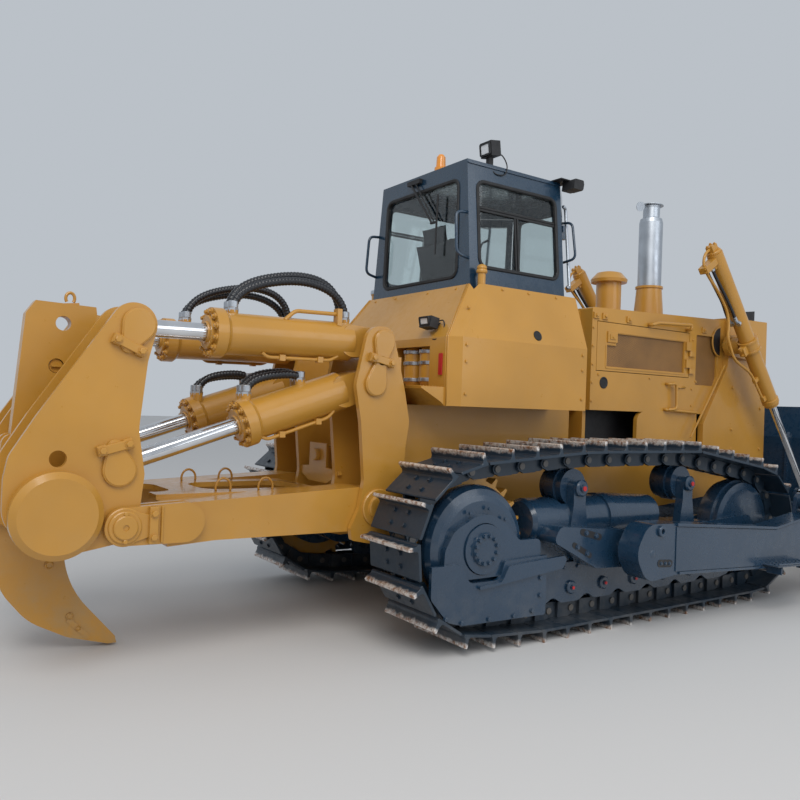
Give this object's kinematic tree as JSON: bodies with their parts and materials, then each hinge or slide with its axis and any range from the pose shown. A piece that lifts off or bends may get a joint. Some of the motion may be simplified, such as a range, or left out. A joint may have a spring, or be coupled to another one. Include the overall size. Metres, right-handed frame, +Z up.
{
  "type": "bulldozer",
  "caption": "Crawler bulldozer with a semi-U blade on push arms, a six-sided cab and a parallelogram ripper with one curved shank at the rear.",
  "frame": {"origin": "on the ground, under the middle of the overall length and width", "axes": "+X towards the blade, +Y to the left, +Z up"},
  "size_m": [8.502, 4.03, 3.7527],
  "materials": {
    "yellow": "satin",
    "steel_blue": "gloss",
    "cab_blue": "gloss",
    "track_steel": "worn",
    "rod_chrome": "polished",
    "silver": "matte",
    "black_steel": "matte",
    "amber": "clear",
    "glass": "clear",
    "seat_fabric": "woven",
    "hose_rubber": "matte"
  },
  "bodies": {
    "chassis": {"track_frames": "steel_blue", "idlers": "steel_blue", "track_rollers": "steel_blue", "final_drives": "steel_blue", "sprockets": "yellow", "main_frame": "yellow", "cross_shafts": "steel_blue", "ripper_bracket": "yellow", "cab": "cab_blue", "cab_glass": "glass", "hood": "yellow", "hood_screens": "black_steel", "fuel_tank": "yellow", "radiator_guard": "yellow", "grille": "black_steel", "radiator": "black_steel", "lamps": "black_steel", "beacon": "amber", "exhaust_base": "yellow", "exhaust_stack": "silver", "precleaner": "yellow", "accumulators": "yellow", "engine_block": "black_steel", "seat": "seat_fabric", "seat_base": "black_steel", "track_right": "track_steel", "track_left": "track_steel"},
    "blade_assembly": {"blade": "steel_blue", "push_arm_right": "steel_blue", "push_arm_left": "steel_blue", "blade_strut_right": "steel_blue", "blade_strut_left": "steel_blue"},
    "lift_barrel_body_right": {"lift_barrel_right": "yellow"},
    "lift_rod_body_right": {"lift_rod_right": "rod_chrome"},
    "lift_barrel_body_left": {"lift_barrel_left": "yellow"},
    "lift_rod_body_left": {"lift_rod_left": "rod_chrome"},
    "ripper_arm_body": {"ripper_arm": "yellow"},
    "ripper_pins_body": {"carrier_pins": "yellow"},
    "ripper_carrier_body": {"ripper_carrier": "yellow", "ripper_shank": "yellow"},
    "raise_barrel_body_right": {"ripper_raise_barrel_right": "yellow", "hoses_raise_right": "hose_rubber"},
    "raise_rod_body_right": {"ripper_raise_rod_right": "rod_chrome"},
    "tilt_barrel_body_right": {"ripper_tilt_barrel_right": "yellow", "hoses_tilt_right": "hose_rubber"},
    "tilt_rod_body_right": {"ripper_tilt_rod_right": "rod_chrome"},
    "raise_barrel_body_left": {"ripper_raise_barrel_left": "yellow", "hoses_raise_left": "hose_rubber"},
    "raise_rod_body_left": {"ripper_raise_rod_left": "rod_chrome"},
    "tilt_barrel_body_left": {"ripper_tilt_barrel_left": "yellow", "hoses_tilt_left": "hose_rubber"},
    "tilt_rod_body_left": {"ripper_tilt_rod_left": "rod_chrome"},
    "cab_door_body_right": {"cab_door_right": "cab_blue", "cab_door_glass_right": "glass"},
    "cab_door_body_left": {"cab_door_left": "cab_blue", "cab_door_glass_left": "glass"},
    "engine_door_body_right": {"engine_door_right": "yellow"},
    "engine_door_body_left": {"engine_door_left": "yellow"}
  },
  "joints": [
    {"name": "blade_lift", "type": "hinge", "parent": "chassis", "child": "blade_assembly", "pos_m": [-0.199, 0, 0.605], "axis": [0, -1, 0], "range_deg": [-7, 18]},
    {"name": "lift_barrel_swing_right", "type": "hinge", "parent": "chassis", "child": "lift_barrel_body_right", "pos_m": [2.258, -0.835, 2.316], "axis": [0, -1, 0], "range_deg": [-10.1, 24.4]},
    {"name": "lift_rod_slide_right", "type": "slide", "parent": "lift_barrel_body_right", "child": "lift_rod_body_right", "axis": [0.6054, 0, -0.7959], "range_m": [-0.9065, 0.3538]},
    {"name": "lift_barrel_swing_left", "type": "hinge", "parent": "chassis", "child": "lift_barrel_body_left", "pos_m": [2.258, 0.835, 2.316], "axis": [0, -1, 0], "range_deg": [-10.1, 24.4]},
    {"name": "lift_rod_slide_left", "type": "slide", "parent": "lift_barrel_body_left", "child": "lift_rod_body_left", "axis": [0.6054, 0, -0.7959], "range_m": [-0.9065, 0.3538]},
    {"name": "ripper_lift", "type": "hinge", "parent": "chassis", "child": "ripper_arm_body", "pos_m": [-1.929, 0, 0.895], "axis": [0, 1, 0], "range_deg": [-20, 26]},
    {"name": "ripper_level", "type": "hinge", "parent": "ripper_arm_body", "child": "ripper_pins_body", "pos_m": [-3.631, 0, 0.859], "axis": [0, 1, 0], "range_deg": [-26.5, 20.5]},
    {"name": "ripper_tilt", "type": "hinge", "parent": "ripper_pins_body", "child": "ripper_carrier_body", "pos_m": [-3.631, 0, 0.859], "axis": [0, -1, 0], "range_deg": [-10, 12]},
    {"name": "raise_barrel_swing_right", "type": "hinge", "parent": "chassis", "child": "raise_barrel_body_right", "pos_m": [-1.989, -0.47, 1.74], "axis": [0, 1, 0], "range_deg": [-19.44, 25.12]},
    {"name": "raise_rod_slide_right", "type": "slide", "parent": "raise_barrel_body_right", "child": "raise_rod_body_right", "axis": [-0.9478, 0, -0.319], "range_m": [-0.2331, 0.1797]},
    {"name": "tilt_barrel_swing_right", "type": "hinge", "parent": "chassis", "child": "tilt_barrel_body_right", "pos_m": [-1.929, -0.47, 2.035], "axis": [0, 1, 0], "range_deg": [-21.11, 27.29]},
    {"name": "tilt_rod_slide_right", "type": "slide", "parent": "tilt_barrel_body_right", "child": "tilt_rod_body_right", "axis": [-0.9999, 0, -0.0152], "range_m": [-0.2011, 0.2409]},
    {"name": "raise_barrel_swing_left", "type": "hinge", "parent": "chassis", "child": "raise_barrel_body_left", "pos_m": [-1.989, 0.47, 1.74], "axis": [0, 1, 0], "range_deg": [-19.44, 25.12]},
    {"name": "raise_rod_slide_left", "type": "slide", "parent": "raise_barrel_body_left", "child": "raise_rod_body_left", "axis": [-0.9478, 0, -0.319], "range_m": [-0.2331, 0.1797]},
    {"name": "tilt_barrel_swing_left", "type": "hinge", "parent": "chassis", "child": "tilt_barrel_body_left", "pos_m": [-1.929, 0.47, 2.035], "axis": [0, 1, 0], "range_deg": [-21.11, 27.29]},
    {"name": "tilt_rod_slide_left", "type": "slide", "parent": "tilt_barrel_body_left", "child": "tilt_rod_body_left", "axis": [-0.9999, 0, -0.0152], "range_m": [-0.2011, 0.2409]},
    {"name": "cab_door_hinge_right", "type": "hinge", "parent": "chassis", "child": "cab_door_body_right", "pos_m": [-0.11538, -0.68881, 2.06], "axis": [0.0026, -0.0881, -0.9961], "range_deg": [0, 100]},
    {"name": "cab_door_hinge_left", "type": "hinge", "parent": "chassis", "child": "cab_door_body_left", "pos_m": [-0.11538, 0.68881, 2.06], "axis": [-0.0026, -0.0881, 0.9961], "range_deg": [0, 100]},
    {"name": "engine_door_hinge_right", "type": "hinge", "parent": "chassis", "child": "engine_door_body_right", "pos_m": [1.698, -0.573, 1.966], "axis": [0, 0, 1], "range_deg": [0, 100]},
    {"name": "engine_door_hinge_left", "type": "hinge", "parent": "chassis", "child": "engine_door_body_left", "pos_m": [1.698, 0.573, 1.966], "axis": [0, 0, -1], "range_deg": [0, 100]}
  ],
  "couplings": [
    {"joint": "lift_barrel_swing_right", "follows": "blade_lift", "ratio": 1.3},
    {"joint": "lift_rod_slide_right", "follows": "blade_lift", "m_per_rad": -2.8791},
    {"joint": "lift_barrel_swing_left", "follows": "blade_lift", "ratio": 1.3},
    {"joint": "lift_rod_slide_left", "follows": "blade_lift", "m_per_rad": -2.8791},
    {"joint": "ripper_level", "follows": "ripper_lift", "ratio": -1},
    {"joint": "raise_barrel_swing_right", "follows": "ripper_lift", "ratio": 0.9468},
    {"joint": "raise_rod_slide_right", "follows": "ripper_lift", "m_per_rad": -0.50919},
    {"joint": "tilt_barrel_swing_right", "follows": "ripper_lift", "ratio": 1.0304},
    {"joint": "tilt_rod_slide_right", "follows": "ripper_tilt", "m_per_rad": 1.1408},
    {"joint": "raise_barrel_swing_left", "follows": "ripper_lift", "ratio": 0.9468},
    {"joint": "raise_rod_slide_left", "follows": "ripper_lift", "m_per_rad": -0.50919},
    {"joint": "tilt_barrel_swing_left", "follows": "ripper_lift", "ratio": 1.0304},
    {"joint": "tilt_rod_slide_left", "follows": "ripper_tilt", "m_per_rad": 1.1408}
  ]
}
